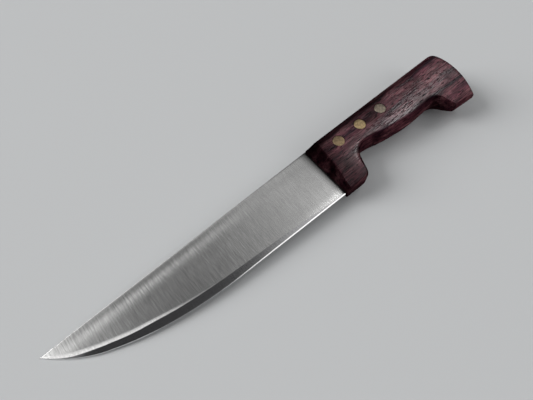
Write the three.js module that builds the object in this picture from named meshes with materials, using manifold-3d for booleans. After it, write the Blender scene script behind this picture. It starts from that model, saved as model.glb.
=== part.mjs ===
// Butcher knife: a taper-ground steel blade whose half tang is let into two wooden scales, held by three
// brass cutler's rivets. Each rivet is a solid post pressed into a tubular sleeve.
// Millimetres. The knife lies on its right side: +X from tip to butt, +Y from edge to spine, +Z upwards.
import * as THREE from "three";
import { mergeVertices } from "three/addons/utils/BufferGeometryUtils.js";
import Module from "manifold-3d";

const wasm = await Module();
wasm.setup();

// Overall sizes
const BLADE_LENGTH = 200;
const BLADE_HEIGHT = 40.8;
const KNIFE_LENGTH = 334;
const KNIFE_HEIGHT = 46.9;
const HANDLE_THICKNESS = 19;
const MID = HANDLE_THICKNESS / 2;

// Blade: half-thickness at the heel's spine, and how much it loses per millimetre towards tip and edge
const SPINE_HALF = 1.45;
const TAPER_TO_TIP = 0.0022;
const TAPER_TO_EDGE = 0.017;
const TIP_TAPER_RUN = 14;
const TIP_THICKNESS_SHARE = 0.25;
const TIP_BLUNT = 0.3;
const EDGE_HALF = 0.06;
const HEEL_INSET = 4;
const HEEL_STEP = 0.8;

// Ground bevel on the belly: widest at BEVEL_PEAK from the tip, run out to nothing at BEVEL_END
const BEVEL_WIDTH = 8;
const BEVEL_PEAK = 52;
const BEVEL_END = 166;
const BEVEL_FOOT_HALF = 0.22;
const BEVEL_RUN_OUT = 1.4;
const BEVEL_FULL_DEPTH = 4;
const HONED_WIDTH_BELLY = 0.7;
const HONED_WIDTH_HEEL = 1.8;
const HONED_HALF_SHARE = 0.9;

// Near the tip the bands keep to these shares of the blade's small height
const TIP_HONED_SHARE = 0.3;
const TIP_LAND_SHARE = 0.2;
const TIP_FLAT_SHARE = 0.12;
const LAND_MIN = 0.4;

// Tang and the rebate that takes it
const TANG_HALF = 1.5;
const TANG_START = 201;
const TANG_END = 272;
const TANG_HEIGHT_FRONT = 19.5;
const TANG_HEIGHT_REAR = 17.5;
const TANG_END_RADIUS = 4;
const FIT_GAP = 0.3;
const GLUE_GAP = 0.15;

// Handle: spine line, rounded-over edges as [inwards, drop], crown of the sides, and the bevelled front
const HANDLE_FRONT = 199.5;
const SPINE_END = 326;
const SPINE_START = 0.6;
const SPINE_FALL = 0.9;
const SPINE_ROUND = [4.5, 4.8];
const EDGE_ROUND = [1.6, 2.6];
const GRIP_ROUND = [2.8, 6];
const FOOT_ROUND = [2.5, 3.8];
const CROWN_START = 16;
const CROWN = 0.0055;
const FRONT_LAND = 13.2;
const BUTT_ROUND_RUN = 0.4;
const SPINE_STEPS = 5;
const FLAT_STEPS = 4;
const CROWN_STEPS = 4;
const EDGE_STEPS = 3;
const BUTT_STEPS = 48;
const SLANT_MIN = 0.35;

// Rivets
const RIVET_X = [219.1, 240.1, 261.1];
const RIVET_BELOW_SPINE = 11.8;
const RIVET_HEAD_R = 4.1;
const RIVET_HEAD_LENGTH = 2.4;
const SLEEVE_R = 2.9;
const SLEEVE_TOP = 15;
const SLEEVE_BORE_R = 2;
const SLEEVE_BORE_FLOOR = 4;
const POST_R = 1.95;
const POST_END = 5;
const RIVET_SIDES = 24;
const HOLE_GAP = 0.05;
const CUT_CLEAR = 1;

const steel = new THREE.MeshStandardMaterial({ color: 0x9b9a98, metalness: 1, roughness: 0.4 });
const wood = new THREE.MeshStandardMaterial({ color: 0x3b2320, metalness: 0, roughness: 0.5 });
const brass = new THREE.MeshStandardMaterial({ color: 0x9c8458, metalness: 1, roughness: 0.4 });

// A point of a side view: distance from the tip, and distance below the line of the spine.
function at(fromTip, belowSpine) {
  return new THREE.Vector2(fromTip, -belowSpine);
}

function closedGeometry(points, triangles) {
  const geometry = new THREE.BufferGeometry();
  geometry.setAttribute("position", new THREE.Float32BufferAttribute(points.flat(), 3));
  geometry.setIndex(triangles.flat());
  return geometry;
}

function toSolid(geometry) {
  const bare = new THREE.BufferGeometry();
  bare.setAttribute("position", geometry.getAttribute("position"));
  bare.setIndex(geometry.getIndex());
  const welded = mergeVertices(bare, 1e-4);
  const vertProperties = new Float32Array(welded.getAttribute("position").array);
  const triVerts = new Uint32Array(welded.getIndex().array);
  return new wasm.Manifold(new wasm.Mesh({ numProp: 3, vertProperties, triVerts }));
}

function toGeometry(solid) {
  const mesh = solid.getMesh();
  const geometry = new THREE.BufferGeometry();
  geometry.setAttribute("position", new THREE.BufferAttribute(new Float32Array(mesh.vertProperties), 3));
  geometry.setIndex(new THREE.BufferAttribute(new Uint32Array(mesh.triVerts), 1));
  return geometry;
}

function named(name, geometry, material) {
  const faceted = geometry.index ? geometry.toNonIndexed() : geometry;
  faceted.computeVertexNormals();
  const mesh = new THREE.Mesh(faceted, material);
  mesh.name = name;
  return mesh;
}

// Closed rings of equal length joined in order, with the first and last ring filled in.
function loft(rings, firstFill, lastFill) {
  const count = rings[0].length;
  const triangles = [];
  for (let k = 0; k + 1 < rings.length; k += 1) {
    for (let i = 0; i < count; i += 1) {
      const j = (i + 1) % count;
      const [a, b] = [k * count + i, k * count + j];
      const [c, d] = [a + count, b + count];
      triangles.push([a, b, d], [a, d, c]);
    }
  }
  const last = (rings.length - 1) * count;
  firstFill.forEach(([a, b, c]) => triangles.push([c, b, a]));
  lastFill.forEach(([a, b, c]) => triangles.push([a + last, b + last, c + last]));
  return closedGeometry(rings.flat(), triangles);
}

// Cutting edge in side view: nearly straight at the tip, a long belly, then a nearly flat run to the heel
const EDGE = [
  { curve: new THREE.CubicBezierCurve(at(0, 0), at(9, 9.6), at(21, 18.6), at(33, 22.6)), steps: 12 },
  { curve: new THREE.CubicBezierCurve(at(33, 22.6), at(53, 31), at(82, 36.5), at(112, 37.6)), steps: 16 },
  { curve: new THREE.LineCurve(at(112, 37.6), at(BLADE_LENGTH, BLADE_HEIGHT)), steps: 10 },
];

function halfThickness(fromTip, belowSpine) {
  return SPINE_HALF - TAPER_TO_TIP * (BLADE_LENGTH - fromTip) - TAPER_TO_EDGE * belowSpine;
}

function bevelWidth(fromTip) {
  if (fromTip < BEVEL_PEAK) {
    return BEVEL_WIDTH * Math.sqrt(fromTip / BEVEL_PEAK);
  }
  const run = Math.min(1, (fromTip - BEVEL_PEAK) / (BEVEL_END - BEVEL_PEAK));
  return BEVEL_WIDTH * (1 - run ** BEVEL_RUN_OUT);
}

// One cross-section of the blade: spine corner, bevel shoulder, top of the honed edge, edge, and back.
function bladeSection(edgePoint, slope, top = 0) {
  const x = edgePoint.x;
  const edge = Math.max(-edgePoint.y, TIP_BLUNT);
  const lean = Math.hypot(1, slope);
  const alongBlade = THREE.MathUtils.clamp(x / BLADE_LENGTH, 0, 1);
  const honedWidth = THREE.MathUtils.lerp(HONED_WIDTH_BELLY, HONED_WIDTH_HEEL, alongBlade ** 2);
  const honed = Math.min(honedWidth * lean, edge * TIP_HONED_SHARE);
  const bevel = Math.max(bevelWidth(x) * lean, honed + Math.min(LAND_MIN, edge * TIP_LAND_SHARE));
  const shoulder = Math.max(edge - bevel, edge * TIP_FLAT_SHARE);
  const tip = Math.min(1, THREE.MathUtils.lerp(TIP_THICKNESS_SHARE, 1, x / TIP_TAPER_RUN));
  const spineHalf = halfThickness(x, 0) * tip;
  const shoulderHalf = halfThickness(x, shoulder) * tip;
  const ground = THREE.MathUtils.clamp(bevel / BEVEL_FULL_DEPTH, 0, 1);
  const flatHalf = halfThickness(x, edge - honed);
  const groundHalf = THREE.MathUtils.lerp(flatHalf, BEVEL_FOOT_HALF, ground);
  const honedHalf = Math.min(groundHalf, shoulderHalf * HONED_HALF_SHARE);
  const upper = [[top, spineHalf], [shoulder, shoulderHalf], [edge - honed, honedHalf], [edge, EDGE_HALF]];
  const lower = upper.map(([down, half]) => [down, -half]).reverse();
  return [...upper, ...lower].map(([down, half]) => [x, -down, MID + half]);
}

function fanFill(count) {
  return Array.from({ length: count - 2 }, (_, i) => [0, i + 1, i + 2]);
}

function bladeSolid() {
  const sections = [];
  EDGE.forEach(({ curve, steps }, piece) => {
    for (let i = piece === 0 ? 0 : 1; i <= steps; i += 1) {
      const point = curve.getPoint(i / steps);
      const way = curve.getTangent(i / steps);
      sections.push(bladeSection(point, way.y / way.x));
    }
  });
  [0.1, HEEL_INSET].forEach((inset) => {
    sections.push(bladeSection(at(BLADE_LENGTH + inset, BLADE_HEIGHT), 0, HEEL_STEP));
  });
  const fill = fanFill(sections[0].length);
  return toSolid(loft(sections, fill, fill));
}

// Tang in side view, grown by the same gap on every side but its front.
function tangShape(gap) {
  const end = TANG_END + gap;
  const front = TANG_HEIGHT_FRONT + gap;
  const rear = TANG_HEIGHT_REAR + gap;
  const round = TANG_END_RADIUS;
  const shape = new THREE.Shape();
  shape.moveTo(TANG_START - gap, spineAt(TANG_START - gap).y + gap);
  shape.lineTo(TANG_START - gap, -front);
  shape.lineTo(end - round, -rear);
  shape.quadraticCurveTo(end, -rear, end, -rear + round);
  shape.lineTo(end, spineAt(end).y + gap);
  shape.closePath();
  return shape;
}

function plate(shape, bottom, top) {
  const depth = top - bottom;
  const geometry = new THREE.ExtrudeGeometry(shape, { depth, bevelEnabled: false, curveSegments: 6 });
  geometry.deleteAttribute("normal");
  geometry.deleteAttribute("uv");
  geometry.translate(0, 0, bottom);
  return toSolid(mergeVertices(geometry));
}

// A round bar standing on the rivet line, from bottom to top.
function rivetBar(x, radius, bottom, top) {
  const bar = new THREE.CylinderGeometry(radius, radius, top - bottom, RIVET_SIDES);
  bar.rotateX(Math.PI / 2);
  bar.translate(x, -RIVET_BELOW_SPINE, (bottom + top) / 2);
  return toSolid(bar);
}

function without(solid, cutters) {
  return cutters.reduce((left, cutter) => left.subtract(cutter), solid);
}

function buildBlade() {
  const tang = plate(tangShape(0), MID - TANG_HALF, MID + TANG_HALF);
  const holes = RIVET_X.map((x) => rivetBar(x, SLEEVE_R + 2 * HOLE_GAP, 0, HANDLE_THICKNESS));
  return without(bladeSolid().add(tang), holes);
}

// Corners of the handle in side view: foot of the front bevel, and both ends of the plain foot of the hook
const LUG_TOE = at(198.4, 41.8);
const LUG_FOOT = at(200.6, 41.9);
const HOOK_FOOT = at(318, 45.76);
const HOOK_HEEL = at(329, KNIFE_HEIGHT);

// Belly of the handle in side view, from the front bevel to the rear of the hook. Each piece also has the
// stretch of the spine that lies above it and the rounding-over at its two ends.
const BELLY = [
  {
    piece: "foot of the lug",
    curve: new THREE.LineCurve(LUG_FOOT, at(213.5, 42.4)),
    spine: [207.5, 211.5], round: [FOOT_ROUND, FOOT_ROUND], steps: 3,
  },
  {
    piece: "rear corner of the lug",
    curve: new THREE.QuadraticBezierCurve(at(213.5, 42.4), at(218.8, 42.5), at(219.9, 37.5)),
    spine: [211.5, 215], round: [FOOT_ROUND, EDGE_ROUND], steps: 6,
  },
  {
    piece: "rear of the lug",
    curve: new THREE.LineCurve(at(219.9, 37.5), at(222.6, 29)),
    spine: [215, 219], round: [EDGE_ROUND, EDGE_ROUND], steps: 3,
  },
  {
    piece: "hollow behind the lug",
    curve: new THREE.CubicBezierCurve(at(222.6, 29), at(225, 25.4), at(229, 22.6), at(234, 22.9)),
    spine: [219, 234], round: [EDGE_ROUND, EDGE_ROUND], steps: 8,
  },
  {
    piece: "grip",
    curve: new THREE.SplineCurve([
      at(234, 22.9), at(241, 24), at(249, 26.4), at(259, 28.4), at(272, 30.3), at(284, 30.8), at(295.5, 30.6),
    ]),
    spine: [234, 296], round: [EDGE_ROUND, GRIP_ROUND], steps: 20,
  },
  {
    piece: "hollow in front of the hook",
    curve: new THREE.CubicBezierCurve(at(295.5, 30.6), at(301.8, 30.8), at(304.4, 34), at(305.6, 38.2)),
    spine: [296, 310], round: [GRIP_ROUND, EDGE_ROUND], steps: 8,
  },
  {
    piece: "inside of the hook",
    curve: new THREE.LineCurve(at(305.6, 38.2), at(308.2, 43.2)),
    spine: [310, 313], round: [EDGE_ROUND, FOOT_ROUND], steps: 2,
  },
  {
    piece: "front corner of the hook",
    curve: new THREE.QuadraticBezierCurve(at(308.2, 43.2), at(308.8, 44.8), at(310.7, 45)),
    spine: [313, 315], round: [FOOT_ROUND, FOOT_ROUND], steps: 3,
  },
  {
    piece: "foot of the hook",
    curve: new THREE.LineCurve(at(310.7, 45), HOOK_FOOT),
    spine: [315, HOOK_FOOT.x], round: [FOOT_ROUND, FOOT_ROUND], steps: 2,
  },
];

// Butt in side view, from the spine down to the corner of the hook
const BUTT = new THREE.CurvePath();
BUTT.add(new THREE.CubicBezierCurve(spineAt(SPINE_END), at(331.5, 1.5), at(333.6, 3.4), at(333.9, 12)));
BUTT.add(new THREE.CubicBezierCurve(at(333.9, 12), at(334.4, 24), at(333.8, 34), HOOK_HEEL));

function spineAt(x) {
  return at(x, SPINE_START + (SPINE_FALL * (x - HANDLE_FRONT)) / (SPINE_END - HANDLE_FRONT));
}

function shares(steps) {
  return Array.from({ length: steps + 1 }, (_, k) => k / steps);
}

// How far in from the wall, as a share of its width, a rounded-over edge is after the share u of its turn.
function roundOver(u) {
  return 1 - Math.cos((u * Math.PI) / 2);
}

function mixed(from, to, t) {
  return from.map((value, k) => THREE.MathUtils.lerp(value, to[k], t));
}

// The handle's outline as straight stretches, each end with its own rounding-over: [inwards, drop].
function roundedOutline() {
  const spine = { a: spineAt(HANDLE_FRONT - 5), b: spineAt(SPINE_END), from: SPINE_ROUND, to: SPINE_ROUND };
  const stretches = [spine];
  const add = (points, rounding) => {
    for (let i = 0; i + 1 < points.length; i += 1) {
      const share = [i, i + 1].map((k) => rounding(k / (points.length - 1)));
      stretches.push({ a: points[i], b: points[i + 1], from: share[0], to: share[1] });
    }
  };
  const buttShare = (t) => THREE.MathUtils.smoothstep(t, 0, BUTT_ROUND_RUN);
  add(BUTT.getSpacedPoints(BUTT_STEPS), (t) => mixed(SPINE_ROUND, EDGE_ROUND, buttShare(t)));
  add([LUG_TOE, LUG_FOOT], () => FOOT_ROUND);
  BELLY.forEach(({ curve, round, steps }) => add(curve.getPoints(steps * 2), (t) => mixed(...round, t)));
  add([HOOK_FOOT, HOOK_HEEL], (t) => mixed(FOOT_ROUND, EDGE_ROUND, t));
  return stretches;
}

const OUTLINE = roundedOutline();

// Height of the left side above any point of the side view: flat, crowned towards the belly, rounded over.
function sideHeight(point) {
  let nearest = { distance: Infinity };
  OUTLINE.forEach(({ a, b, from, to }) => {
    const way = b.clone().sub(a);
    const t = THREE.MathUtils.clamp(point.clone().sub(a).dot(way) / way.lengthSq(), 0, 1);
    const distance = point.distanceTo(a.clone().addScaledVector(way, t));
    if (distance < nearest.distance) {
      nearest = { distance, round: mixed(from, to, t) };
    }
  });
  const crown = CROWN * Math.max(0, -point.y - CROWN_START) ** 2;
  const [inwards, drop] = nearest.round;
  const share = THREE.MathUtils.clamp(1 - nearest.distance / inwards, 0, 1);
  return HANDLE_THICKNESS - crown - drop * (1 - Math.sqrt(1 - share * share));
}

// Points along one line from the spine to the belly, closer together in the rounded-over edges.
function lineAcross(top, bottom, edge) {
  const way = bottom.clone().sub(top);
  const length = way.length();
  way.normalize();
  const crownStart = (CROWN_START + top.y) / -way.y;
  const spineRows = shares(SPINE_STEPS).map((u) => roundOver(u) * SPINE_ROUND[0]);
  const flatRows = shares(FLAT_STEPS).map((u) => THREE.MathUtils.lerp(SPINE_ROUND[0], crownStart, u));
  const crownRows = shares(CROWN_STEPS).map((u) => THREE.MathUtils.lerp(crownStart, length - edge, u));
  const edgeRows = shares(EDGE_STEPS).map((u) => length - roundOver(1 - u) * edge);
  const stops = [...spineRows, ...flatRows.slice(1), ...crownRows.slice(1), ...edgeRows.slice(1)];
  return stops.map((distance) => top.clone().addScaledVector(way, distance));
}

// The left side as lines across the handle, from its front to its butt.
function linesAcross() {
  const front = lineAcross(spineAt(HANDLE_FRONT), LUG_TOE, FOOT_ROUND[0]);
  const lines = [front.map((p) => [p.x, p.y, Math.min(FRONT_LAND, sideHeight(p))])];
  const plain = [];
  BELLY.forEach(({ curve, spine, round, steps }, piece) => {
    for (let i = piece === 0 ? 0 : 1; i <= steps; i += 1) {
      const t = i / steps;
      const top = spineAt(THREE.MathUtils.lerp(spine[0], spine[1], t));
      const bottom = curve.getPoint(t);
      const way = bottom.clone().sub(top).normalize();
      const slant = Math.max(SLANT_MIN, Math.abs(way.cross(curve.getTangent(t))));
      plain.push(lineAcross(top, bottom, mixed(...round, t)[0] / slant));
    }
  });
  const last = plain[plain.length - 1];
  const length = last[0].distanceTo(last[last.length - 1]);
  const butt = last.map((p) => BUTT.getPointAt(Math.min(1, last[0].distanceTo(p) / length)));
  plain.push(last.map((p, row) => p.clone().lerp(butt[row], 0.5)));
  shares(EDGE_STEPS).forEach((u) => {
    const inset = roundOver(1 - u) * EDGE_ROUND[0];
    plain.push(last.map((p, row) => butt[row].clone().lerp(p, inset / p.distanceTo(butt[row]))));
  });
  plain.forEach((points) => lines.push(points.map((p) => [p.x, p.y, sideHeight(p)])));
  return lines;
}

// Half of the handle above its middle plane, before anything is cut into it.
function scaleBlank() {
  const lines = linesAcross();
  const rows = lines[0].length;
  const points = lines.flat();
  const triangles = [];
  for (let i = 0; i + 1 < lines.length; i += 1) {
    for (let k = 0; k + 1 < rows; k += 1) {
      const [a, b] = [i * rows + k, i * rows + k + 1];
      const [c, d] = [a + rows, b + rows];
      triangles.push([a, b, d], [a, d, c]);
    }
  }
  const last = lines.length - 1;
  const run = (length, index) => Array.from({ length }, (_, k) => index(k));
  const rim = [
    ...run(rows, (k) => k),
    ...run(last, (k) => (k + 1) * rows + rows - 1),
    ...run(rows - 1, (k) => last * rows + rows - 2 - k),
    ...run(last - 1, (k) => (last - 1 - k) * rows),
  ];
  const foot = points.length;
  rim.forEach((index) => points.push([points[index][0], points[index][1], MID]));
  rim.forEach((index, i) => {
    const j = (i + 1) % rim.length;
    triangles.push([foot + i, foot + j, rim[j]], [foot + i, rim[j], index]);
  });
  const contour = rim.map((index) => new THREE.Vector2(points[index][0], points[index][1]));
  const fill = THREE.ShapeUtils.triangulateShape(contour, []);
  fill.forEach(([a, b, c]) => triangles.push([foot + c, foot + b, foot + a]));
  return toSolid(closedGeometry(points, triangles));
}

// Slot in the front of the handle that takes the blade's heel, tapered like the blade.
function heelSlot() {
  const [front, back] = [LUG_TOE.x - CUT_CLEAR, BLADE_LENGTH + HEEL_INSET + FIT_GAP];
  const [top, bottom] = [FIT_GAP, -(BLADE_HEIGHT + FIT_GAP)];
  const corners = [[front, bottom], [back, bottom], [back, top], [front, top]];
  const floor = corners.map(([x, y]) => [x, y, MID - TANG_HALF]);
  const roof = corners.map(([x, y]) => [x, y, MID + halfThickness(x, -y) + GLUE_GAP]);
  return toSolid(loft([floor, roof], fanFill(4), fanFill(4)));
}

function buildScale() {
  const rebate = plate(tangShape(FIT_GAP), MID - TANG_HALF, MID + TANG_HALF + GLUE_GAP);
  const headSeat = HANDLE_THICKNESS - RIVET_HEAD_LENGTH - HOLE_GAP;
  const holes = RIVET_X.flatMap((x) => [
    rivetBar(x, SLEEVE_R + HOLE_GAP, MID - CUT_CLEAR, HANDLE_THICKNESS),
    rivetBar(x, RIVET_HEAD_R + HOLE_GAP, headSeat, HANDLE_THICKNESS + CUT_CLEAR),
  ]);
  return without(scaleBlank(), [heelSlot(), rebate, ...holes]);
}

// Mirror image in the knife's middle plane, with the corners of each triangle turned to face out again.
function mirroredSide(geometry) {
  const mirrored = geometry.clone();
  mirrored.scale(1, 1, -1).translate(0, 0, HANDLE_THICKNESS);
  const corners = mirrored.getIndex().array;
  for (let i = 0; i < corners.length; i += 3) {
    corners.subarray(i, i + 3).reverse();
  }
  return mirrored;
}

// Solid half of a rivet: a flat head flush with the left scale and a shank.
function buildPost(x) {
  const head = rivetBar(x, RIVET_HEAD_R, HANDLE_THICKNESS - RIVET_HEAD_LENGTH, HANDLE_THICKNESS);
  return head.add(rivetBar(x, POST_R, POST_END, HANDLE_THICKNESS - RIVET_HEAD_LENGTH / 2));
}

// Tubular half of a rivet: a flat head flush with the right scale and a drilled body.
function buildSleeve(x) {
  const head = rivetBar(x, RIVET_HEAD_R, 0, RIVET_HEAD_LENGTH);
  const body = rivetBar(x, SLEEVE_R, RIVET_HEAD_LENGTH / 2, SLEEVE_TOP);
  return head.add(body).subtract(rivetBar(x, SLEEVE_BORE_R, SLEEVE_BORE_FLOOR, SLEEVE_TOP + CUT_CLEAR));
}

const knife = new THREE.Group();
knife.name = "butcher_knife";
knife.position.set(-KNIFE_LENGTH / 2, KNIFE_HEIGHT / 2, 0);

knife.add(named("blade", toGeometry(buildBlade()), steel));

const leftScale = toGeometry(buildScale());
knife.add(named("left_scale", leftScale, wood));
knife.add(named("right_scale", mirroredSide(leftScale), wood));

["front", "middle", "rear"].forEach((place, i) => {
  knife.add(named(`${place}_rivet_post`, toGeometry(buildPost(RIVET_X[i])), brass));
  knife.add(named(`${place}_rivet_sleeve`, toGeometry(buildSleeve(RIVET_X[i])), brass));
});

const part = new THREE.Group();
part.add(knife);
export default part;
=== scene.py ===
# Butcher knife lying on its right side: a taper-ground steel blade with a half tang, two rosewood scales
# and three brass cutler's rivets. Lengths are millimetres. Places in the row's frame, and values whose
# names end in _M, are metres.
import math

import bpy
import numpy as np
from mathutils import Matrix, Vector, noise


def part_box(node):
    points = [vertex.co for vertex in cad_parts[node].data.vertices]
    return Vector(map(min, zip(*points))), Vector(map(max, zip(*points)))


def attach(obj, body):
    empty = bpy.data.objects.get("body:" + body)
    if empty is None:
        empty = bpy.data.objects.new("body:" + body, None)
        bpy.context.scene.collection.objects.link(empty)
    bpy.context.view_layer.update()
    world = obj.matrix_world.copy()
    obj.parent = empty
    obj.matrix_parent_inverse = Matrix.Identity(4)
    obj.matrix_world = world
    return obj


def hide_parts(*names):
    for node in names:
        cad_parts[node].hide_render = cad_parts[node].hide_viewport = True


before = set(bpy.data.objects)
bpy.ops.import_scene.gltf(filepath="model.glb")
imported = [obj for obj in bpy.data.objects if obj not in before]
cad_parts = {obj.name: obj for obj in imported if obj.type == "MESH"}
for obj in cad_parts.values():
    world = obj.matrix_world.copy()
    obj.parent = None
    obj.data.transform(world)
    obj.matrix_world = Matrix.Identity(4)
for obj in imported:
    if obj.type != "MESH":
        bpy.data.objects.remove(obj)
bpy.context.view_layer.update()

scene = bpy.context.scene
scene.view_settings.view_transform = "Standard"


# Camera: held close above the knife on its edge side, with a wide lens and no roll.
# Place and aim are metres in the row's frame. The lens gives the photograph's field of view.
CAMERA_PLACE = Vector((-0.0899, -0.0749, 0.2428))
CAMERA_AIM = Vector((-0.0110, 0.0140, 0.0095))
PICTURE_WIDTH_PX = 533
FOCAL_LENGTH_PX = 402.6
NEAREST_SEEN_M = 0.005

camera = bpy.data.objects.new("camera", bpy.data.cameras.new("camera"))
camera.location = CAMERA_PLACE
camera.rotation_mode = "QUATERNION"
camera.rotation_quaternion = (CAMERA_AIM - CAMERA_PLACE).to_track_quat("-Z", "Y")
camera.data.lens = camera.data.sensor_width * FOCAL_LENGTH_PX / PICTURE_WIDTH_PX
camera.data.clip_start = NEAREST_SEEN_M
scene.collection.objects.link(camera)
scene.camera = camera


# Surface that the knife lies on: a plain pale board. The knife's balance is ahead of its handle, so it
# rests on the tip and on the front of the lower scale, and the board slopes between those two places.
FLOOR_SIZE_M = 6.0
FLOOR_GREY = (0.56, 0.57, 0.575, 1)
FLOOR_ROUGHNESS = 0.7
FLOOR_GLOSS = 0
FLOOR_CLEARANCE_M = 0.00005
LOWER_REST_FROM_TIP = 207.5
TIP_UNDERSIDE = 9.24
MM = 0.001

tip_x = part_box("blade")[0].x
spine_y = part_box("blade")[1].y
middle_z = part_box("left_scale")[0].z


def add_node(tree, kind, sockets=(), **settings):
    """One shader node. Each socket gets a value, or the output of another node."""
    made = tree.nodes.new(kind)
    for name, value in settings.items():
        setattr(made, name, value)
    for name, value in dict(sockets).items():
        if isinstance(value, bpy.types.NodeSocket):
            tree.links.new(value, made.inputs[name])
        else:
            made.inputs[name].default_value = value
    return made


def new_material(name):
    material = bpy.data.materials.new(name)
    material.use_nodes = True
    return material, material.node_tree, material.node_tree.nodes["Principled BSDF"]


def new_object(name, points, faces):
    mesh = bpy.data.meshes.new(name)
    mesh.from_pydata([tuple(point) for point in points], [], faces)
    made = bpy.data.objects.new(name, mesh)
    scene.collection.objects.link(made)
    return made


half_floor = FLOOR_SIZE_M / 2
corners = [(-half_floor, -half_floor, 0), (half_floor, -half_floor, 0),
           (half_floor, half_floor, 0), (-half_floor, half_floor, 0)]
floor = new_object("floor", corners, [(0, 1, 2, 3)])
floor.location = (tip_x + LOWER_REST_FROM_TIP * MM, 0, -FLOOR_CLEARANCE_M)
floor.rotation_euler = (0, math.atan2(TIP_UNDERSIDE, LOWER_REST_FROM_TIP), 0)
floor_material, _, floor_shader = new_material("pale_board")
floor_shader.inputs["Base Color"].default_value = FLOOR_GREY
floor_shader.inputs["Roughness"].default_value = FLOOR_ROUGHNESS
floor_shader.inputs["Specular IOR Level"].default_value = FLOOR_GLOSS
floor.data.materials.append(floor_material)


# Light: a soft ceiling that leans towards the butt, dimmer walls, a window past the butt and a large key
# lamp past the tip. Patches of the room stand for what the knife mirrors: bright ones past tip, spine, edge
# and butt, dim ones straight above the knife, above its handle and low beyond its spine.
CEILING_LIGHT = (0.76, 0.76, 0.76, 1)
WALL_LIGHT = (0.25, 0.25, 0.255, 1)
CEILING_WAY = Vector((0.3, 0.05, 0.95))
CEILING_EDGE_DEG = 50
CEILING_FULL_DEG = 10

# Each patch: its direction in the row's frame, degrees to its edge and to its full part, and its colour
PATCHES = [
    (Vector((-0.42, 0.36, 0.83)), 20, 5, (0.98, 0.98, 0.98, 1)),
    (Vector((-0.08, 0.62, 0.78)), 14, 5, (1.45, 1.45, 1.45, 1)),
    (Vector((0.42, -0.72, 0.55)), 24, 6, (1.7, 1.7, 1.7, 1)),
    (Vector((0.72, 0.24, 0.65)), 13, 4, (0.6, 0.6, 0.6, 1)),
    (Vector((-0.28, 0.06, 0.95)), 20, 6, (0.02, 0.02, 0.022, 1)),
    (Vector((0.015, 0.13, 0.99)), 23.5, 7, (0.035, 0.035, 0.037, 1)),
    (Vector((0.56, 0.36, 0.745)), 12, 5, (0.12, 0.12, 0.122, 1)),
    (Vector((0.45, 0.78, 0.42)), 42, 20, (0.05, 0.05, 0.052, 1)),
]

# Each lamp: its name, its direction, its degrees across as seen from the knife, and its brightness
LAMP_DISTANCE_M = 20.0
LAMPS = [
    ("window", Vector((0.63, 0.07, 0.77)), 9.5, 8.0),
    ("key_lamp", Vector((-0.66, 0.58, 0.48)), 32, 10.2),
]


def mixed_colour(tree, share, first, second, blend="MIX"):
    """Two colours mixed or blended. A mix node's colours are sockets 6 and 7, and output 2 is their mix."""
    sockets = {0: share, 6: first, 7: second}
    return add_node(tree, "ShaderNodeMix", sockets, data_type="RGBA", blend_type=blend).outputs[2]


def spread(tree, value, low, high, to_low=0.0, to_high=1.0, interpolation="LINEAR"):
    """The value brought from one range into another."""
    sockets = {"Value": value, "From Min": low, "From Max": high, "To Min": to_low, "To Max": to_high}
    return add_node(tree, "ShaderNodeMapRange", sockets, interpolation_type=interpolation).outputs["Result"]


def nearness(tree, way, centre, edge_degrees, full_degrees):
    """1 in the middle of a round patch of the room, falling smoothly to 0 at its edge."""
    product = add_node(tree, "ShaderNodeVectorMath", {0: way, 1: centre.normalized()},
                       operation="DOT_PRODUCT")
    edge, full = (math.cos(math.radians(degrees)) for degrees in (edge_degrees, full_degrees))
    return spread(tree, product.outputs["Value"], edge, full, interpolation="SMOOTHSTEP")


room = bpy.data.worlds.new("room")
room.use_nodes = True
scene.world = room
room_tree = room.node_tree
room_way = add_node(room_tree, "ShaderNodeTexCoord").outputs["Generated"]
ceiling_share = nearness(room_tree, room_way, CEILING_WAY, CEILING_EDGE_DEG, CEILING_FULL_DEG)
room_colour = mixed_colour(room_tree, ceiling_share, WALL_LIGHT, CEILING_LIGHT)
for patch_way, edge_degrees, full_degrees, patch_colour in PATCHES:
    patch_share = nearness(room_tree, room_way, patch_way, edge_degrees, full_degrees)
    room_colour = mixed_colour(room_tree, patch_share, room_colour, patch_colour)
room_tree.links.new(room_colour, room_tree.nodes["Background"].inputs["Color"])

for lamp_name, lamp_way, degrees_across, radiance in LAMPS:
    light = bpy.data.lights.new(lamp_name, "AREA")
    light.shape = "SQUARE"
    light.size = 2 * LAMP_DISTANCE_M * math.tan(math.radians(degrees_across / 2))
    light.energy = radiance * math.pi * light.size ** 2
    lamp = bpy.data.objects.new(lamp_name, light)
    lamp.location = lamp_way.normalized() * LAMP_DISTANCE_M
    lamp.rotation_mode = "QUATERNION"
    lamp.rotation_quaternion = (-lamp_way).to_track_quat("-Z", "Y")
    scene.collection.objects.link(lamp)


# Blade: stainless steel, ground thinner towards tip and edge, with the tang in one piece. The sides are
# brushed across, a bevel is ground along the belly, and the edge is honed. Rivets hold its tang in the
# handle.
BLADE_LENGTH = 200
BLADE_HEIGHT = 40.8
SPINE_HALF = 1.45
TAPER_TO_TIP = 0.0022
TAPER_TO_EDGE = 0.017
TIP_TAPER_RUN = 20
TIP_THICKNESS_SHARE = 0.25
TIP_BLUNT = 0.3
EDGE_HALF = 0.06
EDGE_LINE = [
    ([(0, 0), (9, 9.6), (21, 18.6), (33, 22.6)], 60),
    ([(33, 22.6), (53, 31), (82, 36.5), (112, 37.6)], 80),
    ([(112, 37.6), (BLADE_LENGTH, BLADE_HEIGHT)], 70),
]

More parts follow.
